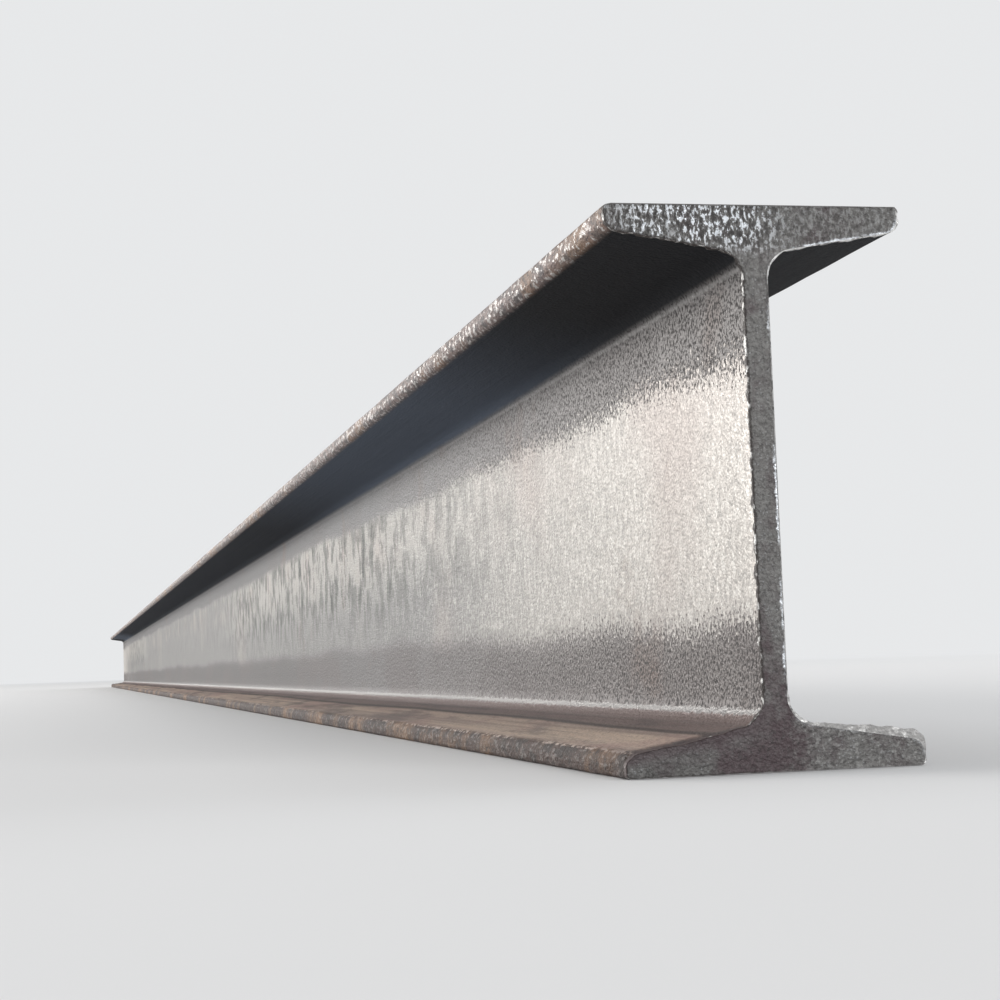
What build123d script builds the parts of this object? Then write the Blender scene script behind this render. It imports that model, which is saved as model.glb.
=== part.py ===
"""Hot-rolled steel beam with tapered flanges, one 6 m stock length.

It lies on its lower flange. X runs across the flanges, Y along the length and Z up.
The origin is the centre of the underside. All sizes are in millimetres.
"""

from build123d import *
import os

os.makedirs("parts", exist_ok=True)

# Driving dimensions
length = 6000.0
depth = 160.0
flange_width = 88.0
web_thickness = 7.5
flange_thickness = 10.6  # half way along the overhang of a flange
flange_slope = 1 / 6  # fall of a flange's inner face towards its toe
root_radius = 8.0  # between web and flange
toe_radius = 4.0  # inner corner of a flange's toe
edge_radius = 1.5  # outer corner of a flange's toe

# The overhang is what stands out of the web, and the inner face slopes evenly along it.
half_depth = depth / 2
half_width = flange_width / 2
half_web = web_thickness / 2
overhang = half_width - half_web
root_thickness = flange_thickness + flange_slope * overhang / 2
tip_thickness = flange_thickness - flange_slope * overhang / 2

# The two roundings of a toe share its height.
toe_fillet = min(toe_radius, 0.7 * tip_thickness)
edge_fillet = min(edge_radius, 0.25 * tip_thickness)

# The section stands across the length, with its own origin at half the depth.
section_plane = Plane(origin=(0, 0, half_depth), x_dir=(1, 0, 0), z_dir=(0, -1, 0))

with BuildPart() as h_beam:
    with BuildSketch(section_plane):
        # Upper right quarter: the web, the root, the sloping inner face, the toe and the outer face
        with BuildLine():
            skin = FilletPolyline(
                (half_web, 0),
                (half_web, half_depth - root_thickness),
                (half_width, half_depth - tip_thickness),
                (half_width, half_depth),
                (0, half_depth),
                radius=[root_radius, toe_fillet, edge_fillet],
            )
            Polyline(skin @ 1, (0, 0), skin @ 0)
        make_face()
        mirror(about=Plane.YZ)
        mirror(about=Plane.XZ)
    extrude(amount=length / 2, both=True)

h_beam.part.label = "h_beam"
export_step(h_beam.part, "parts/h_beam.step")
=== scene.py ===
"""Dresses a hot-rolled steel beam: its rolled skin, its two cut ends, their burrs, and a plain studio.

Everything is in metres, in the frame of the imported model: X across the flanges, Y along the beam, Z up.
The near end is the one at the lowest Y. The floor is the plane through the beam's underside.
"""

import logging
import math
import random
from dataclasses import dataclass, field
from enum import Enum

import bmesh
import bpy
from mathutils import Matrix, Vector, kdtree, noise


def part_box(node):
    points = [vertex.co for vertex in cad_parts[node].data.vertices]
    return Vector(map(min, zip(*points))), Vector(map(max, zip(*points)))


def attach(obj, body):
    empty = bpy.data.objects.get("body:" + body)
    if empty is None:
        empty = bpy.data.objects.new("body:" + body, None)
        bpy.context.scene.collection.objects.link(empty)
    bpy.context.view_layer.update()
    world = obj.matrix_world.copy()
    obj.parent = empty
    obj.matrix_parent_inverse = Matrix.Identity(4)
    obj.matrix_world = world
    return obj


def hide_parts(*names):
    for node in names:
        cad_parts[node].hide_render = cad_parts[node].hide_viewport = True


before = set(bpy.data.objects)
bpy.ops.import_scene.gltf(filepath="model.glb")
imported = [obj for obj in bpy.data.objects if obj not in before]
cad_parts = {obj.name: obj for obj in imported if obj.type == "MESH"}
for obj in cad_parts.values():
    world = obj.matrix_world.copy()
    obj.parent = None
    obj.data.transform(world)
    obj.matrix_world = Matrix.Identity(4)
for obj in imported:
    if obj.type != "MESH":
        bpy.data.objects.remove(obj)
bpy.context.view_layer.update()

LOG = logging.getLogger("beam")
MM = 0.001
SLACK = 0.1 * MM
SNAP = 0.01 * MM
BAKE_MAP = "OFBake"
RIM = "rim"

Colour = tuple[float, float, float]
Place = tuple[float, float, float]
Pair = tuple[float, float]
Socket = bpy.types.NodeSocket
Outputs = bpy.types.NodeOutputs
Value = float | Colour | Socket
Mesh = bmesh.types.BMesh
Face = bmesh.types.BMFace
Vert = bmesh.types.BMVert
Moves = dict[Vert, Vector]


def clamp(value: float, low: float = 0.0, high: float = 1.0) -> float:
    """Holds a number between two others."""
    return min(max(value, low), high)


def show(name: str, data: bpy.types.ID) -> bpy.types.Object:
    """Stands a mesh, a lamp or a camera in the scene.

    Args:
        name: the object's name.
        data: what it shows.

    Returns:
        The object.
    """
    shown = bpy.data.objects.new(name, data)
    bpy.context.scene.collection.objects.link(shown)
    return shown


def show_mesh(name: str, mesh: Mesh) -> bpy.types.Object:
    """Turns a finished mesh into an object of the scene.

    Args:
        name: the object's name and its mesh's.
        mesh: the mesh, which is used up.

    Returns:
        The object.
    """
    made = bpy.data.meshes.new(name)
    mesh.to_mesh(made)
    mesh.free()
    return show(name, made)


def nearest_of(points: list[Vector]) -> kdtree.KDTree:
    """Makes a search for the nearest of some points.

    Args:
        points: the points.

    Returns:
        The search, which gives a point by its number in the list.
    """
    search = kdtree.KDTree(len(points))
    for index, point in enumerate(points):
        search.insert(point, index)
    search.balance()
    return search


class Skin(Enum):
    """The material slots of the beam, in their order on the mesh."""

    ROLLED = 0
    CUT = 1
    BURR = 2


class Tree:
    """Adds nodes to one node tree and joins them."""

    def __init__(self, tree: bpy.types.NodeTree) -> None:
        """Works on the tree as it is."""
        self.tree = tree

    def add(self, kind: str, **settings: object) -> bpy.types.Node:
        """Adds a node.

        Args:
            kind: the node's type in Blender.
            settings: properties to set on the node.

        Returns:
            The new node.
        """
        node = self.tree.nodes.new(kind)
        for name, value in settings.items():
            setattr(node, name, value)
        return node

    def feed(self, socket: Socket, value: Value) -> None:
        """Joins an input to an output, or sets it to a plain value.

        Args:
            socket: the input.
            value: an output, a number or a colour.
        """
        if isinstance(value, Socket):
            self.tree.links.new(value, socket)
        elif isinstance(value, tuple) and len(socket.default_value) == 4:
            socket.default_value = (*value, 1.0)
        else:
            socket.default_value = value

    def math(self, operation: str, first: Value, second: Value = 0.0, clamp: bool = False) -> Socket:
        """Joins one Math node.

        Args:
            operation: the node's operation, such as "MULTIPLY".
            first: the first operand.
            second: the second operand.
            clamp: whether the result is held between 0 and 1.

        Returns:
            The result.
        """
        node = self.add("ShaderNodeMath", operation=operation, use_clamp=clamp)
        self.feed(node.inputs[0], first)
        self.feed(node.inputs[1], second)
        return node.outputs[0]

    def times(self, first: Value, *others: Value) -> Socket:
        """Multiplies values.

        Args:
            first: the first one.
            others: all the others, in order.

        Returns:
            Their product.
        """
        for other in others:
            first = self.math("MULTIPLY", first, other)
        return first

    def plus(self, first: Value, *others: Value) -> Socket:
        """Adds values.

        Args:
            first: the first one.
            others: all the others, in order.

        Returns:
            Their sum.
        """
        for other in others:
            first = self.math("ADD", first, other)
        return first

    def flip(self, mask: Value) -> Socket:
        """Turns a mask round, 0 to 1 and 1 to 0."""
        return self.math("SUBTRACT", 1.0, mask)

    def sway(self, cloud: Socket, reach: Value) -> Socket:
        """Noise round a half, moved to lie round 0 and scaled by a reach."""
        return self.times(self.math("SUBTRACT", cloud, 0.5), reach)

    def ease(self, value: Value, start: float, end: float) -> Socket:
        """A smooth step of a value.

        Args:
            value: what is measured.
            start: where the step is 0.
            end: where the step is 1. It may be below start.

        Returns:
            A mask from 0 to 1.
        """
        node = self.add("ShaderNodeMapRange", interpolation_type="SMOOTHSTEP")
        self.feed(node.inputs["Value"], value)
        low, high = min(start, end), max(start, end)
        node.inputs["From Min"].default_value = low
        node.inputs["From Max"].default_value = high
        node.inputs["To Min"].default_value = 0.0 if start < end else 1.0
        node.inputs["To Max"].default_value = 1.0 if start < end else 0.0
        return node.outputs["Result"]

    def between(self, value: Value, first: Pair, second: Pair) -> Socket:
        """The mask of what lies between two smooth steps, each given as for ease."""
        return self.times(self.ease(value, *first), self.ease(value, *second))

    def span(self, value: Value, low: Value, high: Value) -> Socket:
        """A straight run of a mask from 0 to 1 onto two other numbers.

        Args:
            value: the mask.
            low: the result at 0.
            high: the result at 1.

        Returns:
            The number between them.
        """
        node = self.add("ShaderNodeMapRange")
        self.feed(node.inputs["Value"], value)
        self.feed(node.inputs["To Min"], low)
        self.feed(node.inputs["To Max"], high)
        return node.outputs["Result"]

    def tint(self, mask: Value, under: Value, over: Value, mode: str = "MIX") -> Socket:
        """Lays one colour over another.

        Args:
            mask: where the upper colour shows, from 0 to 1.
            under: the lower colour.
            over: the upper colour.
            mode: how the two are joined.

        Returns:
            The colour.
        """
        node = self.add("ShaderNodeMix", data_type="RGBA", blend_type=mode, clamp_factor=True)
        self.feed(node.inputs[0], mask)
        self.feed(node.inputs[6], under)
        self.feed(node.inputs[7], over)
        return node.outputs[2]

    def layers(self, colour: Value, *coats: tuple[Value, Value]) -> Value:
        """Lays colours over one another.

        Args:
            colour: the lowest colour.
            coats: the mask and the colour of each coat, from the lowest up.

        Returns:
            The colour.
        """
        for mask, over in coats:
            colour = self.tint(mask, colour, over)
        return colour

    def blend(self, mask: Value, under: Socket, over: Socket) -> Socket:
        """Blends two shaders.

        Args:
            mask: where the upper shader shows, from 0 to 1.
            under: the lower shader.
            over: the upper shader.

        Returns:
            The shader.
        """
        node = self.add("ShaderNodeMixShader")
        for socket, value in zip(node.inputs, (mask, under, over)):
            self.feed(socket, value)
        return node.outputs[0]

    def axes(self, vector: Socket) -> Outputs:
        """Parts a place into its three numbers.

        Args:
            vector: the place.

        Returns:
            The numbers along X, Y and Z.
        """
        node = self.add("ShaderNodeSeparateXYZ")
        self.feed(node.inputs[0], vector)
        return node.outputs

    def stretch(self, vector: Socket, scale: Place) -> Socket:
        """A place with each of its axes scaled.

        Args:
            vector: the place.
            scale: one factor for each axis.

        Returns:
            The scaled place.
        """
        node = self.add("ShaderNodeVectorMath", operation="MULTIPLY")
        self.feed(node.inputs[0], vector)
        node.inputs[1].default_value = scale
        return node.outputs[0]

    def drawn(self, vector: Socket, along: float) -> Socket:
        """A place squeezed along the beam, so that what is laid on it comes out long."""
        return self.stretch(vector, (1.0, along, 1.0))

    def cloud(self, vector: Socket, scale: Value, detail: float = 3.0, rough: float = 0.55) -> Socket:
        """Fractal noise.

        Args:
            vector: the place.
            scale: features for each metre.
            detail: octaves.
            rough: how strong the finer octaves are.

        Returns:
            A number from 0 to 1, mostly near a half.
        """
        node = self.add("ShaderNodeTexNoise")
        self.feed(node.inputs["Vector"], vector)
        self.feed(node.inputs["Scale"], scale)
        node.inputs["Detail"].default_value = detail
        node.inputs["Roughness"].default_value = rough
        return node.outputs[0]

    def grains(self, vector: Socket, scale: Value, output: str = "Distance") -> Socket:
        """Voronoi cells.

        Args:
            vector: the place.
            scale: cells for each metre.
            output: "Distance" to the cell's middle, or "Color", which is one for each cell.

        Returns:
            The cells' distance or colour.
        """
        node = self.add("ShaderNodeTexVoronoi")
        self.feed(node.inputs["Vector"], vector)
        self.feed(node.inputs["Scale"], scale)
        return node.outputs[output]


class Effect:
    """A shader node group that is built once and placed in each material that needs it."""

    def __init__(self, name: str, inputs: dict[str, str], outputs: dict[str, str]) -> None:
        """Makes the group and its sockets.

        Args:
            name: the group's name.
            inputs: socket names and their kinds, "Float", "Vector" or "Color".
            outputs: the same for the results.
        """
        self.group = bpy.data.node_groups.new(name, "ShaderNodeTree")
        for way, sockets in (("INPUT", inputs), ("OUTPUT", outputs)):
            for label, kind in sockets.items():
                self.group.interface.new_socket(name=label, in_out=way, socket_type=f"NodeSocket{kind}")
        self.tree = Tree(self.group)
        self.inputs = self.tree.add("NodeGroupInput").outputs
        self.outputs = self.tree.add("NodeGroupOutput").inputs

    def give(self, label: str, value: Socket) -> None:
        """Joins a result to the group's output of that name."""
        self.tree.feed(self.outputs[label], value)

    def per(self, label: str) -> Socket:
        """How many of the lengths that an input states go into a metre."""
        return self.tree.math("DIVIDE", 1.0, self.inputs[label])

    def place(self, tree: Tree, **values: Value) -> Outputs:
        """Places the group in a material.

        Args:
            tree: the material's nodes.
            values: what each input is fed, by its name in lower case with underscores.

        Returns:
            The outputs of the placed group.
        """
        node = tree.add("ShaderNodeGroup", node_tree=self.group)
        for label, value in values.items():
            tree.feed(node.inputs[label.replace("_", " ").capitalize()], value)
        return node.outputs


@dataclass(frozen=True)
class RolledSection:
    """The beam's outline across its length."""

    width: float
    depth: float
    web: float = 7.5 * MM
    flange: float = 10.6 * MM
    slope: float = 1 / 6
    root_radius: float = 8.0 * MM
    toe_radius: float = 4.0 * MM
    edge_radius: float = 1.5 * MM
    root_edges: int = 7
    toe_edges: int = 6
    rim_edges: int = 3
    tolerance: float = 0.001 * MM

    @property
    def overhang(self) -> float:
        """How far a flange stands out of the web."""
        return (self.width - self.web) / 2

    @property
    def root_height(self) -> float:
        """A flange's thickness at the web, before the root is rounded."""
        return self.flange + self.slope * self.overhang / 2

    @property
    def tip_height(self) -> float:
        """A flange's thickness at its tip, before the toe is rounded."""
        return self.flange - self.slope * self.overhang / 2

    @property
    def root_end(self) -> float:
        """How far from the middle of the web its rounded root ends."""
        return self.web / 2 + self.root_radius * (1 - math.sin(math.atan(self.slope)))

    def draw(self, mesh: Mesh, place: float) -> Face:
        """Draws the outline as one face that looks along -Y.

        Args:
            mesh: the mesh to draw in.
            place: where along Y.

        Returns:
            The face.
        """
        half = self.depth / 2
        quarter = [
            (self.web / 2, half - self.root_height),
            (self.width / 2, half - self.tip_height),
            (self.width / 2, half),
        ]
        left_up = [(-x, z) for x, z in reversed(quarter)]
        left_down = [(-x, -z) for x, z in quarter]
        right_down = [(x, -z) for x, z in reversed(quarter)]
        around = quarter + left_up + left_down + right_down
        corners = [mesh.verts.new((x, place, half + z)) for x, z in around]
        mesh.faces.new(corners)
        sloped = math.tan((math.pi / 2 + math.atan(self.slope)) / 2)
        roots = [v for v in corners if abs(v.co.x) < self.web]
        edges = [v for v in corners if abs(abs(v.co.z - half) - half) < self.tolerance]
        toes = [v for v in corners if v not in roots and v not in edges]
        self._round(mesh, roots, self.root_radius / sloped, self.root_edges)
        self._round(mesh, toes, self.toe_radius / sloped, self.toe_edges)
        self._round(mesh, edges, self.edge_radius, self.rim_edges)
        mesh.faces.ensure_lookup_table()
        return mesh.faces[0]

    @staticmethod
    def _round(mesh: Mesh, corners: list[Vert], reach: float, segments: int) -> None:
        """Rounds corners of the outline.

        Args:
            mesh: the mesh.
            corners: the corners.
            reach: how far along its two edges a corner's arc begins.
            segments: edges in the arc.
        """
        bmesh.ops.bevel(
            mesh,
            geom=corners,
            offset=reach,
            offset_type="OFFSET",
            segments=segments,
            profile=0.5,
            affect="VERTICES",
            material=-1,
        )


@dataclass(frozen=True)
class Nick:
    """A dent in a flange's toe."""

    place: Vector
    reach: float
    depth: float
    inward: Vector

    def push(self, point: Vector) -> Vector:
        """How far the dent moves a point of the skin.

        Args:
            point: a point of the skin.

        Returns:
            The move.
        """
        off = (point - self.place).length / self.reach
        return self.inward * self.depth * (1 - off * off) ** 2 if off < 1 else Vector()


@dataclass(frozen=True)
class Tear:
    """How a saw left the rim at one point.

    Attributes:
        forward: how far the lip stands out of the end.
        out: how far it stands out of the skin.
        rise: how far it is folded up.
        bite: how deep the skin behind it is torn.
    """

    forward: float
    out: float
    rise: float
    bite: float


@dataclass
class CutEnd:
    """The near end: its cut face in a fine grid, the lip round it and the first rows of the skin."""

    section: RolledSection
    place: float
    rows: tuple[float, ...] = (5.0 * MM, 2.5 * MM, 1.0 * MM, 0.35 * MM, -0.3 * MM, 0.0)
    coarse_step: float = 8.0 * MM
    fine_step: float = 1.0 * MM
    lip_depth: float = 0.5 * MM
    grid: float = 1.1 * MM
    grid_shift: float = 0.13

    def build(self, mesh: Mesh, around: "Around") -> None:
        """Builds the end.

        Args:
            mesh: an empty mesh.
            around: measures the way round the outline.
        """
        face = self.section.draw(mesh, self.place + self.rows[1])
        self._divide(mesh, face, self.coarse_step)
        made = bmesh.ops.extrude_edge_only(mesh, edges=face.edges[:])["geom"]
        behind = [g for g in made if isinstance(g, Vert)]
        bmesh.ops.translate(mesh, verts=behind, vec=(0, self.rows[0] - self.rows[1], 0))
        self._divide(mesh, face, self.fine_step)
        around.measure(face)
        for before, after in zip(self.rows[1:], self.rows[2:]):
            grown = bmesh.ops.extrude_face_region(mesh, geom=[face])["geom"]
            bmesh.ops.delete(mesh, geom=[face], context="FACES_ONLY")
            face = next(g for g in grown if isinstance(g, Face))
            bmesh.ops.translate(mesh, verts=face.verts[:], vec=(0, after - before, 0))
        sides = [f for f in mesh.faces if f is not face]
        around.write(sides)
        for side in sides:
            is_lip = all(v.co.y < self.place + self.lip_depth for v in side.verts)
            side.material_index = Skin.BURR.value if is_lip else Skin.ROLLED.value
        face.material_index = Skin.CUT.value
        self._cut_grid(mesh, face)

    @staticmethod
    def _divide(mesh: Mesh, face: Face, step: float) -> None:
        """Divides the edges of the outline that are longer than a step.

        Args:
            mesh: the mesh.
            face: the outline.
            step: the longest that an edge may be.
        """
        for edge in [e for e in face.edges if e.calc_length() > step]:
            cuts = math.ceil(edge.calc_length() / step) - 1
            bmesh.ops.bisect_edges(mesh, edges=[edge], cuts=cuts)

    def _cut_grid(self, mesh: Mesh, cap: Face) -> None:
        """Cuts the end's face into a fine grid.

        Args:
            mesh: the mesh.
            cap: the face.
        """
        faces = [cap]
        half = self.section.width / 2
        axes = ((Vector((1, 0, 0)), -half, half), (Vector((0, 0, 1)), 0.0, self.section.depth))
        for axis, start, stop in axes:
            lines = round((stop - start) / self.grid)
            for index in range(1, lines):
                at = start + (stop - start) * (index + self.grid_shift) / lines
                crossed = [f for f in faces if self._crosses(f, axis, at)]
                geometry = dict.fromkeys(crossed)
                geometry.update(dict.fromkeys(e for f in crossed for e in f.edges))
                geometry.update(dict.fromkeys(v for f in crossed for v in f.verts))
                cut = bmesh.ops.bisect_plane(
                    mesh, geom=list(geometry), dist=1e-7, plane_co=axis * at, plane_no=axis
                )
                halves = [g for g in cut["geom"] if isinstance(g, Face)]
                faces = list(dict.fromkeys(faces + halves))

    @staticmethod
    def _crosses(face: Face, axis: Vector, at: float) -> bool:
        """Whether a plane square to an axis, at a place along it, cuts a face."""
        places = [v.co.dot(axis) for v in face.verts]
        return min(places) < at < max(places)


class Around:
    """Measures how far round the outline each part of the skin is, and keeps it for the bake map."""

    def __init__(self, mesh: Mesh) -> None:
        """Gives the mesh the layers that hold the measure.

        Args:
            mesh: the mesh, still empty.
        """
        self.far = mesh.verts.layers.float.new("around")
        self.flat = mesh.loops.layers.uv.new(BAKE_MAP)
        self.whole = 0.0

    def measure(self, outline: Face) -> None:
        """Walks round the outline, and passes what it finds on to the row behind it.

        Args:
            outline: a face across the beam.
        """
        total = 0.0
        for corner in outline.loops:
            corner.vert[self.far] = total
            total += corner.edge.calc_length()
        self.whole = total
        for vertex in outline.verts:
            for mate in [e.other_vert(vertex) for e in vertex.link_edges]:
                if mate.co.y > vertex.co.y + SLACK:
                    mate[self.far] = vertex[self.far]

    def write(self, faces: list[Face]) -> None:
        """Writes the measure to the corners of side faces, so that later cuts divide it evenly.

        Args:
            faces: faces of the skin.
        """
        for face in faces:
            values = [corner.vert[self.far] for corner in face.loops]
            wraps = max(values) - min(values) > self.whole / 2
            for corner, value in zip(face.loops, values):
                shift = self.whole if wraps and value < self.whole / 2 else 0.0
                corner[self.flat].uv = (0.0, value + shift)


@dataclass
class RolledBeam:
    """The rolled skin and both cut ends, as one closed mesh."""

    low: Vector
    high: Vector
    near_step: float = 3.0 * MM
    far_step: float = 18.0 * MM
    step_growth: float = 1.12
    near_zone: float = 240.0 * MM
    rim_draw: float = 0.2 * MM
    rim_reach: float = 5.0 * MM
    relief_from: float = 6.0 * MM
    relief_above: float = 0.2 * MM
    toe_reach: float = 6.0 * MM
    sharp: float = 50.0
    nicks: int = 46
    nick_height: float = 2.6 * MM
    seed: int = 7
    section: RolledSection = field(init=False)

    def __post_init__(self) -> None:
        """Takes the section's two overall sizes from the frame."""
        size = self.high - self.low
        self.section = RolledSection(width=size.x, depth=size.z)

    @property
    def length(self) -> float:
        """The beam's length."""
        return self.high.y - self.low.y

    def build(self) -> bpy.types.Object:
        """Builds the beam.

        Returns:
            The finished object, whose faces are numbered for three materials that are not yet added.
        """
        mesh = bmesh.new()
        mesh.verts.layers.float.new(RIM)
        around = Around(mesh)
        end = CutEnd(self.section, self.low.y)
        end.build(mesh, around)
        self._mirror(mesh)
        self._span(mesh, around, end.rows[0])
        bmesh.ops.recalc_face_normals(mesh, faces=mesh.faces)
        if mesh.calc_volume(signed=True) < 0:
            bmesh.ops.reverse_faces(mesh, faces=mesh.faces)
        mesh.normal_update()
        self._map(mesh, around)
        lips = self._lips(mesh, end.rows)
        moves = lips | self._cut_relief(mesh, lips) | self._skin_relief(mesh)
        for vertex, place in moves.items():
            vertex.co = place
            vertex.co.z = max(vertex.co.z, self.low.z)
        mesh.verts.layers.float.remove(around.far)
        mesh.normal_update()
        for face in mesh.faces:
            face.smooth = True
        for edge in mesh.edges:
            edge.smooth = edge.calc_face_angle(0.0) < math.radians(self.sharp)
        return show_mesh("rolled_beam", mesh)

    def _mirror(self, mesh: Mesh) -> None:
        """Copies the near end to the far end.

        Args:
            mesh: the mesh, with the near end alone.
        """
        middle = (self.low.y + self.high.y) / 2
        bmesh.ops.mirror(
            mesh,
            geom=mesh.verts[:] + mesh.edges[:] + mesh.faces[:],
            matrix=Matrix.Translation((0, -middle, 0)),
            merge_dist=0.0,
            axis="Y",
        )

    def _stations(self, margin: float) -> list[float]:
        """Places along Y for the loops between the two ends.

        Args:
            margin: how far inside an end the first one lies.

        Returns:
            The places, from the near end to the far one.
        """
        half = [margin]
        step = self.near_step
        while half[-1] < self.length / 2:
            if half[-1] > self.near_zone:
                step = min(step * self.step_growth, self.far_step)
            half.append(half[-1] + step)
        half = [x for x in half if x < self.length / 2 - step / 2]
        return [self.low.y + x for x in half] + [self.high.y - x for x in reversed(half)]

    def _span(self, mesh: Mesh, around: Around, margin: float) -> None:
        """Draws the skin from the near end to the far one, and divides it along its length.

        Args:
            mesh: the mesh, with both ends.
            around: measures the way round the outline.
            margin: how far inside its end the open loop of each end lies.
        """
        near_loop = [e for e in mesh.edges if e.is_boundary and e.verts[0].co.y < 0]
        made = bmesh.ops.extrude_edge_only(mesh, edges=near_loop)["geom"]
        tips = [g for g in made if isinstance(g, Vert)]
        around.write([g for g in made if isinstance(g, Face)])
        stations = self._stations(margin)
        bmesh.ops.translate(mesh, verts=tips, vec=(0, stations[-1] - stations[0], 0))
        reached = [v for v in mesh.verts if abs(v.co.y - stations[-1]) < SNAP]
        bmesh.ops.remove_doubles(mesh, verts=reached, dist=SNAP)
        lengthwise = [e for e in mesh.edges if e.calc_length() > self.length / 2]
        bmesh.ops.subdivide_edges(mesh, edges=lengthwise, cuts=len(stations) - 2)
        spacing = (stations[-1] - stations[0]) / (len(stations) - 1)
        for vertex in mesh.verts:
            if stations[0] + spacing / 2 < vertex.co.y < stations[-1] - spacing / 2:
                vertex.co.y = stations[round((vertex.co.y - stations[0]) / spacing)]

    def _map(self, mesh: Mesh, around: Around) -> None:
        """Lays the faces out on a square: the skin in three strips, and the two ends on their sides.

        Args:
            mesh: the mesh.
            around: what was measured round the outline.
        """
        strips, run, edge, gap, margin = 3, 0.985, 0.0075, 0.003, 0.004
        along = strips * run / self.length
        across = 0.9 * along
        band = around.whole * across + 2 * gap
        ends_from = strips * band + margin
        end_scale = (1 - margin - ends_from) / self.section.width
        for face in mesh.faces:
            middle = face.calc_center_median()
            if face.material_index == Skin.CUT.value:
                shift = edge if middle.y < 0 else 0.5
                for corner in face.loops:
                    at = corner.vert.co
                    corner[around.flat].uv = (
                        shift + (at.z - self.low.z) * end_scale,
                        ends_from + (at.x - self.low.x) * end_scale,
                    )
                continue
            strip = min(int((middle.y - self.low.y) / self.length * strips), strips - 1)
            for corner in face.loops:
                place = corner[around.flat].uv
                place.x = (corner.vert.co.y - self.low.y) * along - strip * run + edge
                place.y = strip * band + place.y * across + gap

    def _from_end(self, place: float) -> float:
        """How far inside the nearer end a place along Y is."""
        return min(place - self.low.y, self.high.y - place)

    def _lips(self, mesh: Mesh, rows: tuple[float, ...]) -> Moves:
        """Tears the rims of both ends: a lip on one side of each part, rolled over on the other.

        Args:
            mesh: the mesh.
            rows: how far inside the end each loop lies, with the lip's and the rim's last.

        Returns:
            The new place of each vertex of the lips.
        """
        proud = dict(zip(rows[:5], (0.0, 0.0, 0.06, 0.6, 1.0)))
        rolled = dict(zip(rows[:5], (0.0, 0.2, 0.55, 0.85, 1.0)))
        bitten = dict(zip(rows[:5], (0.0, 0.5, 0.9, 1.0, 0.0)))
        close = [v for v in mesh.verts if self._from_end(v.co.y) < rows[0] + SLACK]
        sides = [v for v in close if self._outward(v).length]
        row_of = {v: min(rows, key=lambda place: abs(place - self._from_end(v.co.y))) for v in sides}
        row_of |= {v: rows[-2] for v in sides if self._from_end(v.co.y) < -SLACK}
        measured = [v for v in sides if row_of[v] == rows[2]]
        nearest = nearest_of([self._corner(v) for v in measured])
        moved = {}
        for vertex, row in row_of.items():
            outward = self._outward(measured[nearest.find(self._corner(vertex))[1]])
            tear = self._tear(vertex.co, outward)
            along = -1.0 if vertex.co.y < 0 else 1.0
            place = vertex.co.copy()
            if row == rows[-1]:
                place += outward * (min(tear.out, 0.0) - self.rim_draw)
            else:
                place += outward * tear.out * (proud if tear.out > 0 else rolled)[row]
                place.z += tear.rise * proud[row]
                place.y -= along * tear.bite * bitten[row]
            if row == rows[-2]:
                place.y += along * (tear.forward + rows[-2])
            moved[vertex] = place
        return moved

    @staticmethod
    def _corner(vertex: Vert) -> Vector:
        """The point of the outline that a vertex stands on, alike in every row of its end."""
        return Vector((vertex.co.x, math.copysign(1.0, vertex.co.y), vertex.co.z))

    @staticmethod
    def _outward(vertex: Vert) -> Vector:
        """The direction out of the skin, square to the beam's length.

        Args:
            vertex: a vertex of the mesh.

        Returns:
            The direction, or nothing inside a cut.
        """
        total = Vector()
        for face in vertex.link_faces:
            if face.material_index != Skin.CUT.value:
                total += face.normal
        total.y = 0
        return total.normalized() if total.length > 1e-6 else Vector()

    def _tear(self, at: Vector, outward: Vector) -> Tear:
        """How a saw left the rim at one point.

        Args:
            at: the point.
            outward: the direction out of the skin.

        Returns:
            The tear there.
        """
        far = at.y > 0
        key = Vector((at.x, 0.7 if far else 0.2, at.z))
        coarse = noise.noise(key * 60)
        ragged = noise.noise(key * 260) + 0.6 * noise.noise(key * 620)
        exit_side = -outward.x if far else outward.x
        on_exit = (-at.x if far else at.x) > 0
        is_low = at.z < self.section.depth / 2
        level = clamp((outward.z - 0.15) / 0.5) if is_low else 0.0
        start, run = (4 * MM, 5 * MM) if on_exit else (10 * MM, 12 * MM)
        shelf = level * clamp((abs(at.x) - start) / run)
        flap = clamp((abs(at.x) - 11 * MM) / (28 * MM)) * clamp((outward.z + 0.1) / 0.4)
        rise = flap * (1.6 + 0.5 * ragged + 0.4 * coarse) if on_exit and is_low else 0.0
        forward = 0.20 + 0.06 * exit_side + 0.15 * coarse + 0.24 * ragged
        out = 0.02 + 0.26 * exit_side + 0.16 * coarse + 0.30 * ragged
        bite = 0.5 - 0.6 * exit_side + 2.0 * ragged
        out += shelf * (0.65 if on_exit else -0.9)
        bite += shelf * (0.0 if on_exit else 1.2)
        return Tear(max(forward, 0.03) * MM, out * MM, max(rise, 0.0) * MM, clamp(bite, 0.0, 2.3) * MM)

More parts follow.
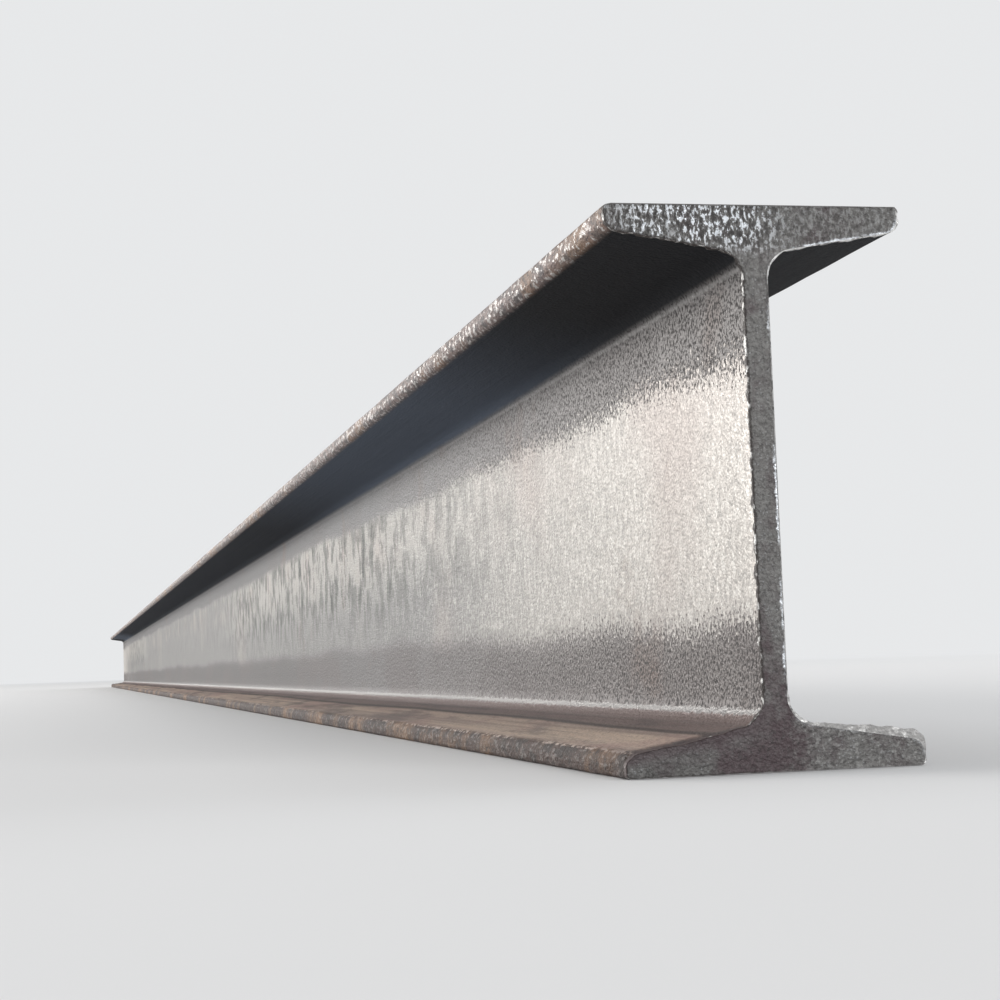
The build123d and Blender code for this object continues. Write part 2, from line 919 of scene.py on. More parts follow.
    def _cut_relief(self, mesh: Mesh, lips: Moves) -> Moves:
        """Gives the inside of the cut faces their torn relief, and keeps how far each point is from the rim.

        Args:
            mesh: the mesh.
            lips: the new places of the rims' vertices.

        Returns:
            The new place of each vertex inside a cut.
        """
        measure = mesh.verts.layers.float[RIM]
        rims = [v for v in lips if any(f.material_index == Skin.CUT.value for f in v.link_faces)]
        near = nearest_of([v.co for v in rims])
        moved = {}
        for vertex in mesh.verts:
            if any(f.material_index != Skin.CUT.value for f in vertex.link_faces):
                continue
            _, index, off = near.find(vertex.co)
            vertex[measure] = off / MM
            drawn = (lips[rims[index]] - rims[index].co) * max(0.0, 1 - off / self.rim_reach)
            along = -1.0 if vertex.co.y < 0 else 1.0
            at = Vector((vertex.co.x, along * 0.3, vertex.co.z))
            top = max(0.0, at.z / self.section.depth * 8 - 7)
            torn = 0.10 * noise.noise(at * 110) + 0.09 * noise.noise(at * 380)
            torn += 0.16 * top * noise.noise(Vector((at.x * 520, at.y, at.z * 260)))
            moved[vertex] = vertex.co + drawn + Vector((0, along * MM * (torn - 0.06), 0))
        return moved

    def _skin_relief(self, mesh: Mesh) -> Moves:
        """Makes the skin slightly uneven, most of all along the toes, and dents the toes.

        Args:
            mesh: the mesh.

        Returns:
            The new place of each vertex of the skin behind the lips.
        """
        dents = self._nicks()
        half = self.section.width / 2
        moved = {}
        for vertex in mesh.verts:
            at = vertex.co
            if self._from_end(at.y) < self.relief_from or at.z < self.relief_above:
                continue
            toe = max(0.0, 1 - (half - abs(at.x)) / self.toe_reach)
            even = 0.10 * noise.noise(at * 9) + 0.05 * noise.noise(at * 60)
            worn = 0.22 * noise.noise(Vector((at.x * 20, at.y * 38, at.z * 20)))
            move = self._outward(vertex) * MM * (even + toe * worn)
            for dent in dents:
                if abs(at.y - dent.place.y) < dent.reach:
                    move += dent.push(at)
            moved[vertex] = at + move
        return moved

    def _nicks(self) -> list[Nick]:
        """Chooses where the toes are dented, most often near the ends.

        Returns:
            The dents.
        """
        draw = random.Random(self.seed)
        half = self.section.width / 2
        made = []
        for index in range(self.nicks):
            from_end = draw.uniform(0.01, 1) ** 2 * self.length / 2
            place = self.low.y + from_end if index % 2 else self.high.y - from_end
            side = draw.choice((-1, 1))
            height = draw.choice((self.nick_height, self.section.depth - self.nick_height))
            depth = draw.uniform(0.3, 0.9) * MM
            reach = draw.uniform(4, 9) * MM
            made.append(Nick(Vector((side * half, place, height)), reach, depth, Vector((-side, 0, 0))))
        return made


@dataclass(frozen=True)
class SectionPlaces:
    """Builds the group of masks that says where on the section a point of the skin is."""

    section: RolledSection
    half_length: float
    side_shift: float = 7.31

    def build(self) -> Effect:
        """Builds the group.

        Returns:
            The group, with a mask for each zone and the distances from the web's middle and the nearer end.
        """
        labels = ("Web", "Root", "Shelf", "Toe", "Outer", "Upper", "Height", "End", "Off")
        results = dict.fromkeys(labels, "Float") | {"Own": "Vector"}
        effect = Effect("section_places", {"Place": "Vector"}, results)
        tree, place = effect.tree, effect.inputs["Place"]
        half_web, half_width = self.section.web / 2, self.section.width / 2
        half_depth, root_end = self.section.depth / 2, self.section.root_end
        across, along, up = tree.axes(place)
        off = tree.math("ABSOLUTE", across)
        high = tree.math("ABSOLUTE", tree.math("SUBTRACT", up, half_depth))
        outer = tree.ease(high, half_depth - 0.9 * MM, half_depth - 0.3 * MM)
        inner = tree.flip(outer)
        web = tree.ease(off, half_web + 2.0 * MM, half_web + 0.4 * MM)
        past_root = tree.ease(off, root_end - 2.6 * MM, root_end + 0.4 * MM)
        effect.give("Web", tree.times(web, inner))
        effect.give("Root", tree.times(tree.flip(web), tree.flip(past_root), inner))
        effect.give("Shelf", tree.times(past_root, inner))
        effect.give("Toe", tree.ease(off, half_width - 3.6 * MM, half_width - 1.2 * MM))
        effect.give("Outer", outer)
        effect.give("Upper", tree.ease(up, half_depth - 1 * MM, half_depth + 1 * MM))
        effect.give("Height", tree.math("DIVIDE", up, self.section.depth))
        effect.give("End", tree.math("SUBTRACT", self.half_length, tree.math("ABSOLUTE", along)))
        effect.give("Off", off)
        shift = tree.add("ShaderNodeCombineXYZ")
        tree.feed(shift.inputs[1], tree.times(tree.math("SIGN", across), self.side_shift))
        moved = tree.add("ShaderNodeVectorMath", operation="ADD")
        tree.feed(moved.inputs[0], place)
        tree.feed(moved.inputs[1], shift.outputs[0])
        effect.give("Own", moved.outputs[0])
        return effect


def build_grain() -> Effect:
    """Builds the fine pebbled grain of hot steel.

    Returns:
        The group: a height, a mask of its dark pits and a mask of the few grains that glint.
    """
    inputs = {"Place": "Vector", "Size": "Float", "Pits": "Float", "Glints": "Float"}
    effect = Effect("steel_grain", inputs, dict.fromkeys(("Height", "Pit", "Glint"), "Float"))
    tree, place, scale = effect.tree, effect.inputs["Place"], effect.per("Size")
    lumps = tree.cloud(place, tree.times(scale, 0.55), 3.0, 0.62)
    pebbles = tree.grains(place, scale)
    effect.give("Height", tree.math("SUBTRACT", tree.times(lumps, 1.4), tree.times(pebbles, 0.4)))
    edge = tree.span(effect.inputs["Pits"], 0.34, 0.54)
    hollows = tree.cloud(place, tree.times(scale, 0.85), 2.0, 0.6)
    effect.give("Pit", tree.ease(tree.math("SUBTRACT", edge, hollows), -0.06, 0.10))
    cell = tree.add("ShaderNodeSeparateColor")
    tree.feed(cell.inputs[0], tree.grains(place, scale, "Color"))
    chosen = tree.math("GREATER_THAN", effect.inputs["Glints"], cell.outputs[0])
    effect.give("Glint", tree.times(chosen, tree.ease(pebbles, 0.42, 0.2)))
    return effect


def build_runs() -> Effect:
    """Builds the marks that water leaves on an upright face.

    Returns:
        The group: a mask of ragged marks, a little taller than wide, in loose crowds.
    """
    effect = Effect("water_runs", {"Place": "Vector", "Width": "Float"}, {"Mask": "Float"})
    tree, place, scale = effect.tree, effect.inputs["Place"], effect.per("Width")
    marks = tree.cloud(tree.stretch(place, (1.0, 1.0, 0.75)), scale, 5.0, 0.66)
    crowd = tree.ease(tree.cloud(tree.drawn(place, 0.5), tree.times(scale, 0.07), 2.0), 0.30, 0.50)
    soft = tree.times(tree.ease(marks, 0.46, 0.54), 0.62)
    cores = tree.times(tree.ease(marks, 0.58, 0.64), 0.38)
    effect.give("Mask", tree.times(tree.plus(soft, cores), crowd))
    return effect


def build_patches() -> Effect:
    """Builds ragged patches, as of rust or of scale that has come off.

    Returns:
        The group: a mask that covers more as its amount goes from 0 to 1.
    """
    inputs = {"Place": "Vector", "Size": "Float", "Amount": "Float"}
    effect = Effect("ragged_patches", inputs, {"Mask": "Float"})
    tree = effect.tree
    blot = tree.cloud(effect.inputs["Place"], effect.per("Size"), 6.0, 0.62)
    edge = tree.span(effect.inputs["Amount"], 0.78, 0.22)
    effect.give("Mask", tree.ease(tree.math("SUBTRACT", blot, edge), -0.05, 0.08))
    return effect


def build_lines() -> Effect:
    """Builds the fine lines that the rolls leave along the beam.

    Returns:
        The group: a number from 0 to 1 in long thin bands.
    """
    effect = Effect("rolling_lines", {"Place": "Vector", "Pitch": "Float"}, {"Tone": "Float"})
    tree = effect.tree
    lines = tree.cloud(tree.drawn(effect.inputs["Place"], 0.012), effect.per("Pitch"), 4.0, 0.6)
    effect.give("Tone", tree.ease(lines, 0.36, 0.64))
    return effect


@dataclass
class Effects:
    """The shared effects, each built once."""

    places: Effect
    grain: Effect = field(default_factory=build_grain)
    runs: Effect = field(default_factory=build_runs)
    patches: Effect = field(default_factory=build_patches)
    lines: Effect = field(default_factory=build_lines)


@dataclass(frozen=True)
class Look:
    """How a zone of a surface looks."""

    colour: Value
    rough: Value
    metal: Value

    def under(self, tree: Tree, mask: Value, upper: "Look") -> "Look":
        """Lays another look over this one.

        Args:
            tree: the material's nodes.
            mask: where the other one shows, from 0 to 1.
            upper: the other one.

        Returns:
            Both together.
        """
        colour = tree.tint(mask, self.colour, upper.colour)
        rough = tree.span(mask, self.rough, upper.rough)
        return Look(colour, rough, tree.span(mask, self.metal, upper.metal))


def start_material(name: str) -> tuple[bpy.types.Material, Tree, bpy.types.Node, Socket]:
    """Starts a material with one Principled shader.

    Args:
        name: the material's name.

    Returns:
        The material, its nodes, the shader and the place of each point on the object.
    """
    material = bpy.data.materials.new(name)
    material.use_nodes = True
    tree = Tree(material.node_tree)
    material.node_tree.nodes.clear()
    shader = tree.add("ShaderNodeBsdfPrincipled")
    output = tree.add("ShaderNodeOutputMaterial")
    tree.feed(output.inputs["Surface"], shader.outputs[0])
    place = tree.add("ShaderNodeTexCoord").outputs["Object"]
    return material, tree, shader, place


@dataclass
class Surface:
    """One material of the beam in the making: its nodes, its shader and the masks of the section."""

    name: str
    effects: Effects
    material: bpy.types.Material = field(init=False)
    tree: Tree = field(init=False)
    shader: bpy.types.Node = field(init=False)
    place: Socket = field(init=False)
    zone: Outputs = field(init=False)

    def __post_init__(self) -> None:
        """Starts the material and places the masks."""
        self.material, self.tree, self.shader, self.place = start_material(self.name)
        self.zone = self.effects.places.place(self.tree, place=self.place)

    def patches(self, place: Socket, size: float, amount: Value) -> Socket:
        """Places ragged patches and returns their mask."""
        return self.effects.patches.place(self.tree, place=place, size=size, amount=amount)["Mask"]

    def exit_side(self) -> Socket:
        """How far a point of an end lies from the web's middle, towards the side where the saw came out.

        Returns:
            The distance in metres, below 0 on the side where the saw went in.
        """
        across, along = self.tree.axes(self.place)[:2]
        return self.tree.times(across, self.tree.math("SIGN", self.tree.times(along, -1.0)))

    def finish(self, look: Look, height: Value, distance: float) -> bpy.types.Material:
        """Joins the finished look and relief to the shader.

        Args:
            look: the colour, roughness and metal.
            height: the relief, about 0 to 1.
            distance: what 1 of it measures, in metres.

        Returns:
            The material.
        """
        bump = self.tree.add("ShaderNodeBump")
        bump.inputs["Distance"].default_value = distance
        self.tree.feed(bump.inputs["Height"], height)
        values = (look.colour, look.rough, look.metal, bump.outputs[0])
        for label, value in zip(("Base Color", "Roughness", "Metallic", "Normal"), values):
            self.tree.feed(self.shader.inputs[label], value)
        return self.material


@dataclass
class RolledSurface(Surface):
    """The rolled skin in the making, with the patterns that its zones share."""

    own: Socket = field(init=False)
    near: Socket = field(init=False)
    grain: Outputs = field(init=False)
    lines: Socket = field(init=False)
    coarse: Socket = field(init=False)

    def __post_init__(self) -> None:
        """Starts the material and places the patterns."""
        super().__post_init__()
        tree = self.tree
        self.own = self.zone["Own"]
        self.near = tree.ease(self.zone["End"], 0.85, 0.03)
        pits = tree.span(self.near, 0.42, 0.72)
        self.grain = self.effects.grain.place(tree, place=self.own, size=1.0 * MM, pits=pits)
        self.lines = self.effects.lines.place(tree, place=self.own, pitch=4.5 * MM)["Tone"]
        self.coarse = tree.cloud(tree.drawn(self.own, 0.5), 560.0, 3.0, 0.6)


@dataclass(frozen=True)
class MillScale:
    """The rolled skin: pale worn web, paler near the ends as a painted highlight, pitted beside the flanges,
    brown shelves, painted shade under the top flange.
    """

    # Painted highlight: the web coloured paler towards each end, where light glances off it.
    end_highlight: Colour = (0.455, 0.425, 0.395)
    # Pale flecks of the grain; near the ends they also stand in for glints of the painted highlight.
    fleck: Colour = (0.60, 0.58, 0.545)
    pale: Colour = (0.325, 0.308, 0.287)
    calm: Colour = (0.172, 0.166, 0.161)
    damp: Colour = (0.062, 0.068, 0.060)
    blush: Colour = (0.37, 0.315, 0.29)
    dull: Colour = (0.210, 0.197, 0.193)
    slate: Colour = (0.172, 0.172, 0.176)
    shade: Colour = (0.80, 0.76, 0.745)
    dim: Colour = (0.64, 0.62, 0.615)
    speck: Colour = (0.062, 0.055, 0.054)
    # Painted highlight along the root fillets.
    fillet_highlight: Colour = (0.40, 0.39, 0.38)
    # Painted shade: the underside of the top flange, coloured near black where it lies only in shade, darkest
    # by the ends.
    under_shade: Colour = (0.018, 0.024, 0.036)
    deep_shade: Colour = (0.004, 0.005, 0.008)
    # Painted reflection: blue-grey light on the top flange's underside.
    blue_reflection: Colour = (0.128, 0.160, 0.215)
    hollow: Colour = (0.27, 0.262, 0.25)
    brown: Colour = (0.207, 0.150, 0.136)
    tan: Colour = (0.54, 0.415, 0.325)
    ochre: Colour = (0.27, 0.155, 0.085)
    groove: Colour = (0.050, 0.037, 0.033)
    mauve: Colour = (0.105, 0.086, 0.084)
    rust: Colour = (0.150, 0.075, 0.042)
    dust: Colour = (0.27, 0.235, 0.205)
    # Painted highlight: glints on the toes.
    glint: Colour = (0.62, 0.585, 0.56)
    rubbed: Colour = (0.60, 0.49, 0.43)
    rosy: Colour = (0.37, 0.235, 0.205)
    # Browns the lower toes and darkens them; the darkening is painted shade.
    worn: Colour = (0.33, 0.255, 0.22)

    def material(self, effects: Effects) -> bpy.types.Material:
        """Builds the material.

        Args:
            effects: the shared effects.

        Returns:
            The material.
        """
        skin = RolledSurface("mill_scale", effects)
        tree, zone, near = skin.tree, skin.zone, skin.near
        band, root_highlight = self._bands(skin)
        # Painted highlights along the upper and the lower root fillets.
        web = self._web(skin, band).under(tree, root_highlight, Look(self.fillet_highlight, 0.45, 0.3))
        lower = web.under(tree, zone["Root"], Look(self.brown, 0.42, 0.3))
        lower = lower.under(tree, self._foot_fillet_highlight(skin), Look(self.fillet_highlight, 0.4, 0.3))
        lower = lower.under(tree, zone["Shelf"], self._shelf(skin))
        # Painted reflection: blue-grey, between about 0.1 and 1.15 m in from each end.
        blue_reflection = tree.between(zone["End"], (0.10, 0.38), (1.15, 0.55))
        # Painted shade on the top flange's underside, darkest by the ends, with the painted reflection laid
        # over it.
        under_shade = tree.tint(blue_reflection, tree.tint(near, self.under_shade, self.deep_shade), self.blue_reflection)
        flange_underside = tree.math("ADD", zone["Shelf"], zone["Root"], clamp=True)
        look = lower.under(tree, zone["Upper"], web.under(tree, flange_underside, Look(under_shade, 0.85, 0.3)))
        look = look.under(tree, zone["Outer"], self._outer(skin))
        look = look.under(tree, zone["Toe"], self._toe(skin))
        ridges = tree.times(skin.lines, tree.span(zone["Web"], 0.35, 0.0))
        ridges = tree.plus(ridges, tree.times(skin.coarse, tree.span(zone["Toe"], 0.0, 1.5)))
        worn_flat = tree.span(tree.times(band, near, zone["Web"]), 1.0, 0.35)
        height = tree.plus(tree.times(skin.grain["Height"], worn_flat), ridges)
        return skin.finish(look, height, 0.42 * MM)

    @staticmethod
    def _bands(skin: RolledSurface) -> tuple[Socket, Socket]:
        """The masks of the web's pale worn band and of the painted highlight along the fillet of its upper
        root.

        Args:
            skin: the material in the making.

        Returns:
            Both masks.
        """
        tree, near, height = skin.tree, skin.near, skin.zone["Height"]
        slow = tree.cloud(tree.drawn(skin.own, 0.4), 10.0, 4.0)
        wander = tree.sway(slow, tree.span(near, 0.10, 0.16))
        dither = tree.sway(skin.grain["Height"], tree.span(near, 0.07, 0.16))
        foot = tree.plus(height, wander, dither)
        head = tree.plus(foot, tree.times(near, 0.045))
        band = tree.times(tree.ease(foot, 0.25, 0.31), tree.ease(head, 0.80, 0.765))
        line = tree.between(tree.plus(height, tree.times(dither, 0.05)), (0.8805, 0.8845), (0.893, 0.888))
        return band, tree.times(line, tree.span(near, 0.1, 0.5))

    def _web(self, skin: RolledSurface, band: Socket) -> Look:
        """The web: a pale worn band between two pitted ones, paler towards the ends as a painted highlight,
        with water marks further along.

        Args:
            skin: the material in the making.
            band: the mask of the worn band.

        Returns:
            The look.
        """
        tree, own, near = skin.tree, skin.own, skin.near
        height, end = skin.zone["Height"], skin.zone["End"]
        lower_half = tree.times(tree.ease(height, 0.66, 0.40), tree.ease(end, 0.15, 0.5))
        quiet = tree.math("MAXIMUM", lower_half, tree.ease(end, 1.4, 2.0))
        spots = tree.cloud(tree.stretch(own, (1.0, 1.0, 0.7)), 300.0, 3.0, 0.6)
        rosy = tree.ease(tree.cloud(own, 4.0, 3.0), 0.55, 0.70)
        flush = tree.times(skin.patches(own, 60 * MM, 0.4), tree.ease(height, 0.52, 0.68))
        bright = tree.layers(
            self.pale,
            (quiet, self.calm),
            # Painted highlight: paler towards each end, with the pale flecks below made stronger there.
            (tree.ease(end, 0.55, 0.0), self.end_highlight),
            (tree.times(tree.ease(spots, 0.48, 0.38), tree.span(near, 0.1, 0.5)), self.hollow),
            (tree.times(tree.ease(spots, 0.50, 0.60), tree.span(near, 0.1, 0.65)), self.fleck),
            (tree.times(rosy, tree.span(near, 0.3, 0.7)), self.blush),
            (tree.times(flush, tree.span(near, 0.6, 0.0)), self.blush),
        )
        low = tree.flip(skin.zone["Upper"])
        edges = tree.tint(low, tree.tint(near, self.slate, self.dull), self.shade, "MULTIPLY")
        edges = tree.tint(tree.ease(end, 0.35, 1.3), edges, self.dim, "MULTIPLY")
        stains = tree.times(skin.patches(tree.drawn(own, 0.5), 70 * MM, 0.42), tree.span(low, 0.30, 0.55))
        bloom = tree.times(skin.patches(own, 90 * MM, 0.25), 0.35)
        colour = tree.layers(edges, (stains, self.mauve), (band, bright), (bloom, self.rust))
        wet = tree.times(
            skin.effects.runs.place(tree, place=own, width=17 * MM)["Mask"],
            band,
            tree.span(near, 1.0, 0.0),
            tree.span(tree.ease(height, 0.30, 0.52), 0.25, 1.0),
            tree.span(tree.ease(end, 2.0, 1.55), 0.25, 1.0),
        )
        look = Look(colour, tree.span(band, 0.50, 0.42), tree.span(band, 0.3, 0.4))
        look = look.under(tree, wet, Look(self.damp, 0.6, 0.15))
        pitted = tree.times(tree.span(band, 1.0, 0.20), tree.span(tree.flip(near), 1.0, 0.35))
        return look.under(tree, tree.times(skin.grain["Pit"], pitted), Look(self.speck, 0.8, 0.05))

    @staticmethod
    def _foot_fillet_highlight(skin: RolledSurface) -> Socket:
        """The mask of the lumpy painted highlight along the fillet at the web's foot.

        Args:
            skin: the material in the making.

        Returns:
            The mask.
        """
        tree = skin.tree
        foot = tree.plus(skin.zone["Height"], tree.sway(skin.grain["Height"], 0.014))
        return tree.times(tree.between(foot, (0.097, 0.102), (0.112, 0.107)), 0.8)

    def _shelf(self, skin: RolledSurface) -> Look:
        """A flange's inner face: brown by the root, a dark groove, then tan in streaks.

        Args:
            skin: the material in the making.

        Returns:
            The look.
        """
        tree, own = skin.tree, skin.own
        wander = tree.cloud(tree.drawn(own, 0.2), 14.0, 3.0)
        off = tree.plus(skin.zone["Off"], tree.sway(wander, 14 * MM))
        past = tree.ease(off, 19 * MM, 23 * MM)
        blush = skin.patches(tree.drawn(own, 0.4), 55 * MM, 0.45)
        groove = tree.between(off, (16 * MM, 18 * MM), (21 * MM, 19 * MM))
        dusk = skin.patches(tree.drawn(own, 0.15), 16 * MM, 0.42)
        smeared = tree.plus(skin.zone["End"], tree.sway(wander, 8 * MM))
        colour = tree.layers(
            self.brown,
            (tree.times(past, tree.span(skin.lines, 0.35, 1.0)), self.tan),
            (tree.times(blush, past, 0.6), self.rosy),
            (tree.times(groove, 0.8), self.groove),
            (tree.times(dusk, 0.6), self.mauve),
            (tree.times(skin.grain["Pit"], 0.35), self.speck),
            (tree.ease(smeared, 5 * MM, 1 * MM), self.mauve),
        )
        return Look(colour, 0.55, 0.2)

    def _outer(self, skin: RolledSurface) -> Look:
        """A flange's outer face: mauve scale with pale dust, rust and lines from the rolls.

        Args:
            skin: the material in the making.

        Returns:
            The look.
        """
        tree = skin.tree
        colour = tree.layers(
            self.mauve,
            (skin.lines, self.slate),
            (tree.times(skin.patches(tree.drawn(skin.own, 0.4), 120 * MM, 0.5), 0.55), self.dust),
            (tree.times(skin.patches(skin.own, 45 * MM, 0.36), 0.7), self.rust),
            (tree.times(skin.grain["Pit"], 0.5), self.speck),
        )
        return Look(colour, 0.55, 0.3)

    def _toe(self, skin: RolledSurface) -> Look:
        """A flange's toe: brown and coarse, with glints painted on as highlights, strongest on the upper
        toes; darker and browner on the lower toes, the darkening painted shade; worn pale along the lower
        shelf's edge.

        Args:
            skin: the material in the making.

        Returns:
            The look.
        """
        tree, own, coarse = skin.tree, skin.own, skin.coarse
        low = tree.flip(skin.zone["Upper"])
        blotches = skin.patches(tree.drawn(own, 0.4), 4 * MM, 0.5)
        # The lower toes are browned and darkened; the darkening is painted shade.
        colour = tree.tint(low, tree.tint(blotches, self.brown, self.mauve), self.worn, "MULTIPLY")
        colour = tree.layers(
            colour,
            (tree.times(skin.patches(own, 70 * MM, 0.4), 0.75), self.ochre),
            (tree.times(tree.ease(coarse, 0.45, 0.36), 0.8), self.groove),
        )
        # Painted highlight: glints, strongest on the upper toes.
        glint = tree.times(tree.ease(coarse, 0.54, 0.61), tree.span(low, 0.9, 0.16))
        look = Look(colour, tree.span(low, 0.55, 0.72), tree.span(low, 0.2, 0.05))
        look = look.under(tree, glint, Look(self.glint, 0.35, 0.4))
        groups = tree.cloud(tree.drawn(own, 0.5), 34.0, 2.0, 0.6)
        edge = tree.times(
            tree.ease(skin.zone["Height"], 0.0415, 0.0445),
            tree.ease(coarse, 0.46, 0.56),
            tree.ease(groups, 0.40, 0.56),
            low,
        )
        return look.under(tree, edge, Look(self.rubbed, 0.45, 0.2))


@dataclass(frozen=True)
class CutSteel:
    """A cut end: dull lumpy steel, mauve about its foot, torn at the top with painted glints."""

    grey: Colour = (0.182, 0.177, 0.170)
    dark: Colour = (0.045, 0.041, 0.040)
    warm: Colour = (0.088, 0.064, 0.069)
    pale: Colour = (0.30, 0.295, 0.285)
    # Painted highlight: the near-white of the glints on a cut.
    painted_glint: Colour = (0.80, 0.83, 0.87)
    # Painted shadow: the dark line along the rim where the saw went in.
    rim_shadow: Colour = (0.030, 0.024, 0.021)

    def material(self, effects: Effects) -> bpy.types.Material:
        """Builds the material.

        Args:
            effects: the shared effects.

        Returns:
            The material.
        """
        cut = Surface("cut_steel", effects)
        tree, place, up = cut.tree, cut.place, cut.zone["Height"]
        grain = effects.grain.place(tree, place=place, size=0.9 * MM, pits=0.5, glints=0.4)
        side = cut.exit_side()
        top = tree.ease(up, 0.90, 0.95)
        foot = tree.ease(up, 0.30, 0.08)
        middle = tree.between(side, (-32 * MM, -12 * MM), (16 * MM, -2 * MM))
        heap = tree.times(middle, tree.span(foot, 0.0, 0.22))
        stain = tree.ease(tree.plus(tree.cloud(place, 70.0, 4.0, 0.62), heap), 0.46, 0.74)
        left_foot = tree.times(foot, tree.ease(side, -14 * MM, -24 * MM))
        lumps = tree.cloud(place, 620.0, 2.5, 0.6)
        lumpy = tree.times(
            tree.ease(lumps, 0.48, 0.66),
            tree.span(tree.ease(side, -4 * MM, 10 * MM), 0.3, 0.95),
            tree.span(stain, 1.0, 0.3),
        )
        torn = tree.cloud(tree.stretch(place, (1.0, 1.0, 0.55)), 820.0, 3.0, 0.62)
        left = tree.ease(side, 14 * MM, -4 * MM)
        neck = tree.plus(tree.times(top, 0.5), tree.times(tree.ease(up, 0.76, 0.86), 0.5))
        colour = tree.layers(
            self.grey,
            (stain, self.warm),
            (tree.times(left_foot, 0.3), self.dark),
            (lumpy, self.pale),
            (tree.times(grain["Pit"], 0.5), self.dark),
            (tree.times(tree.ease(torn, 0.50, 0.40), neck, tree.span(left, 0.35, 0.8)), self.dark),
            (tree.times(tree.ease(torn, 0.52, 0.62), tree.span(neck, 0.0, 0.55)), self.pale),
        )
        crowd = tree.times(
            tree.ease(tree.cloud(place, 60.0, 2.0), 0.28, 0.44),
            top,
            tree.span(tree.ease(side, -43 * MM, -30 * MM), 0.3, 1.0),
            tree.span(left, 0.08, 1.0),
        )
        # Painted highlight: glints crowded on the torn top, and a few in the grain.
        flakes = tree.times(tree.ease(torn, 0.515, 0.575), crowd)
        glint = tree.math("MAXIMUM", flakes, tree.times(grain["Glint"], tree.span(stain, 0.12, 0.0)))
        look = Look(colour, 0.55, 0.3).under(tree, glint, Look(self.painted_glint, 0.32, 0.55))
        height = tree.plus(grain["Height"], lumps, tree.times(torn, tree.span(top, 0.0, 2.2)))
        return cut.finish(self._rim(cut, side, look), height, 0.4 * MM)

    def _rim(self, cut: Surface, side: Socket, look: Look) -> Look:
        """Lays the rim over a cut: smeared brown on the lower shelf and a painted shadow line where the saw
        went in, torn and painted bright with glints where it came out.

        Args:
            cut: the material in the making.
            side: how far a point lies towards the side where the saw came out.
            look: the look of the cut.

        Returns:
            The look with its rim.
        """
        tree, up = cut.tree, cut.zone["Height"]
        rim = tree.add("ShaderNodeAttribute", attribute_name=RIM).outputs["Fac"]
        ragged = tree.plus(rim, tree.span(tree.cloud(cut.place, 900.0, 3.0, 0.6), -1.2, 1.2))
        enters = tree.ease(side, 0.0, -1 * MM)
        low_shelf = tree.between(up, (0.015, 0.03), (0.13, 0.11))
        smeared = tree.times(tree.ease(ragged, 6.0, 1.0), tree.times(enters, low_shelf), 0.8)
        look = look.under(tree, smeared, Look(self.warm, 0.5, 0.2))
        # Painted shadow: a dark ragged line along the rim where the saw went in.
        line = tree.times(
            tree.ease(ragged, 0.6, 0.0),
            tree.ease(up, 0.985, 0.97),
            tree.math("SUBTRACT", enters, low_shelf, clamp=True),
            0.8,
        )
        look = look.under(tree, line, Look(self.rim_shadow, 0.7, 0.1))
        # Torn metal along the rim where the saw came out, painted bright with glints.
        torn_off = tree.times(
            tree.ease(ragged, 0.8, 0.1),
            tree.ease(side, 0.0, 1 * MM),
            tree.between(up, (0.01, 0.03), (0.985, 0.97)),
            cut.patches(cut.place, 9 * MM, 0.5),
            tree.span(low_shelf, 1.0, 0.15),
        )
        return look.under(tree, torn_off, Look(self.painted_glint, 0.35, 0.5))


@dataclass(frozen=True)
class BurrSteel:
    """The torn lip round a cut: torn and painted bright as a highlight where the saw came out, dark with
    painted shadow where it went in, smeared brown on the lower shelf.
    """

    # Torn metal, painted bright as a highlight.
    bright: Colour = (0.82, 0.81, 0.79)
    grey: Colour = (0.27, 0.26, 0.255)
    # Painted shadow: the dark lip where the saw went in.
    rim_shadow: Colour = (0.060, 0.050, 0.046)
    smeared: Colour = (0.110, 0.082, 0.080)
    pale: Colour = (0.47, 0.46, 0.45)

    def material(self, effects: Effects) -> bpy.types.Material:
        """Builds the material.

        Args:
            effects: the shared effects.

        Returns:
            The material.
        """
        lip = Surface("burr_steel", effects)
        tree, zone = lip.tree, lip.zone
        grain = effects.grain.place(tree, place=lip.place, size=0.9 * MM)
        leaves = tree.ease(lip.exit_side(), -1 * MM, 1 * MM)
        low_shelf = tree.times(zone["Shelf"], tree.ease(zone["Height"], 0.5, 0.4))
        dull = tree.layers(
            self.rim_shadow,
            (low_shelf, self.smeared),
            (tree.math("MAXIMUM", leaves, zone["Outer"]), self.grey),
            (tree.times(leaves, low_shelf), self.pale),
        )
        amount = tree.span(leaves, tree.span(low_shelf, 0.42, 0.2), tree.span(low_shelf, 0.60, 0.42))
        amount = tree.times(amount, tree.span(zone["Outer"], 1.0, 0.3))
        # Torn patches, most where the saw came out, painted bright as a highlight.
        worn = lip.patches(lip.place, 3 * MM, amount)
        look = Look(dull, 0.6, 0.2).under(tree, worn, Look(self.bright, 0.38, 0.35))
        return lip.finish(look, grain["Height"], 0.4 * MM)


@dataclass(frozen=True)
class Lamp:
    """One soft area lamp."""

    name: str
    place: Place
    aim: Place
    size: Pair
    watts: float
    colour: Colour = (1.0, 1.0, 1.0)

    def build(self) -> None:
        """Adds the lamp."""
        data = bpy.data.lights.new(self.name, "AREA")
        data.shape = "RECTANGLE"
        data.size, data.size_y = self.size
        data.energy = self.watts
        data.color = self.colour
        lamp = show(self.name, data)
        lamp.location = self.place
        away = Vector(self.aim) - Vector(self.place)
        lamp.rotation_mode = "QUATERNION"
        lamp.rotation_quaternion = away.to_track_quat("-Z", "Y")


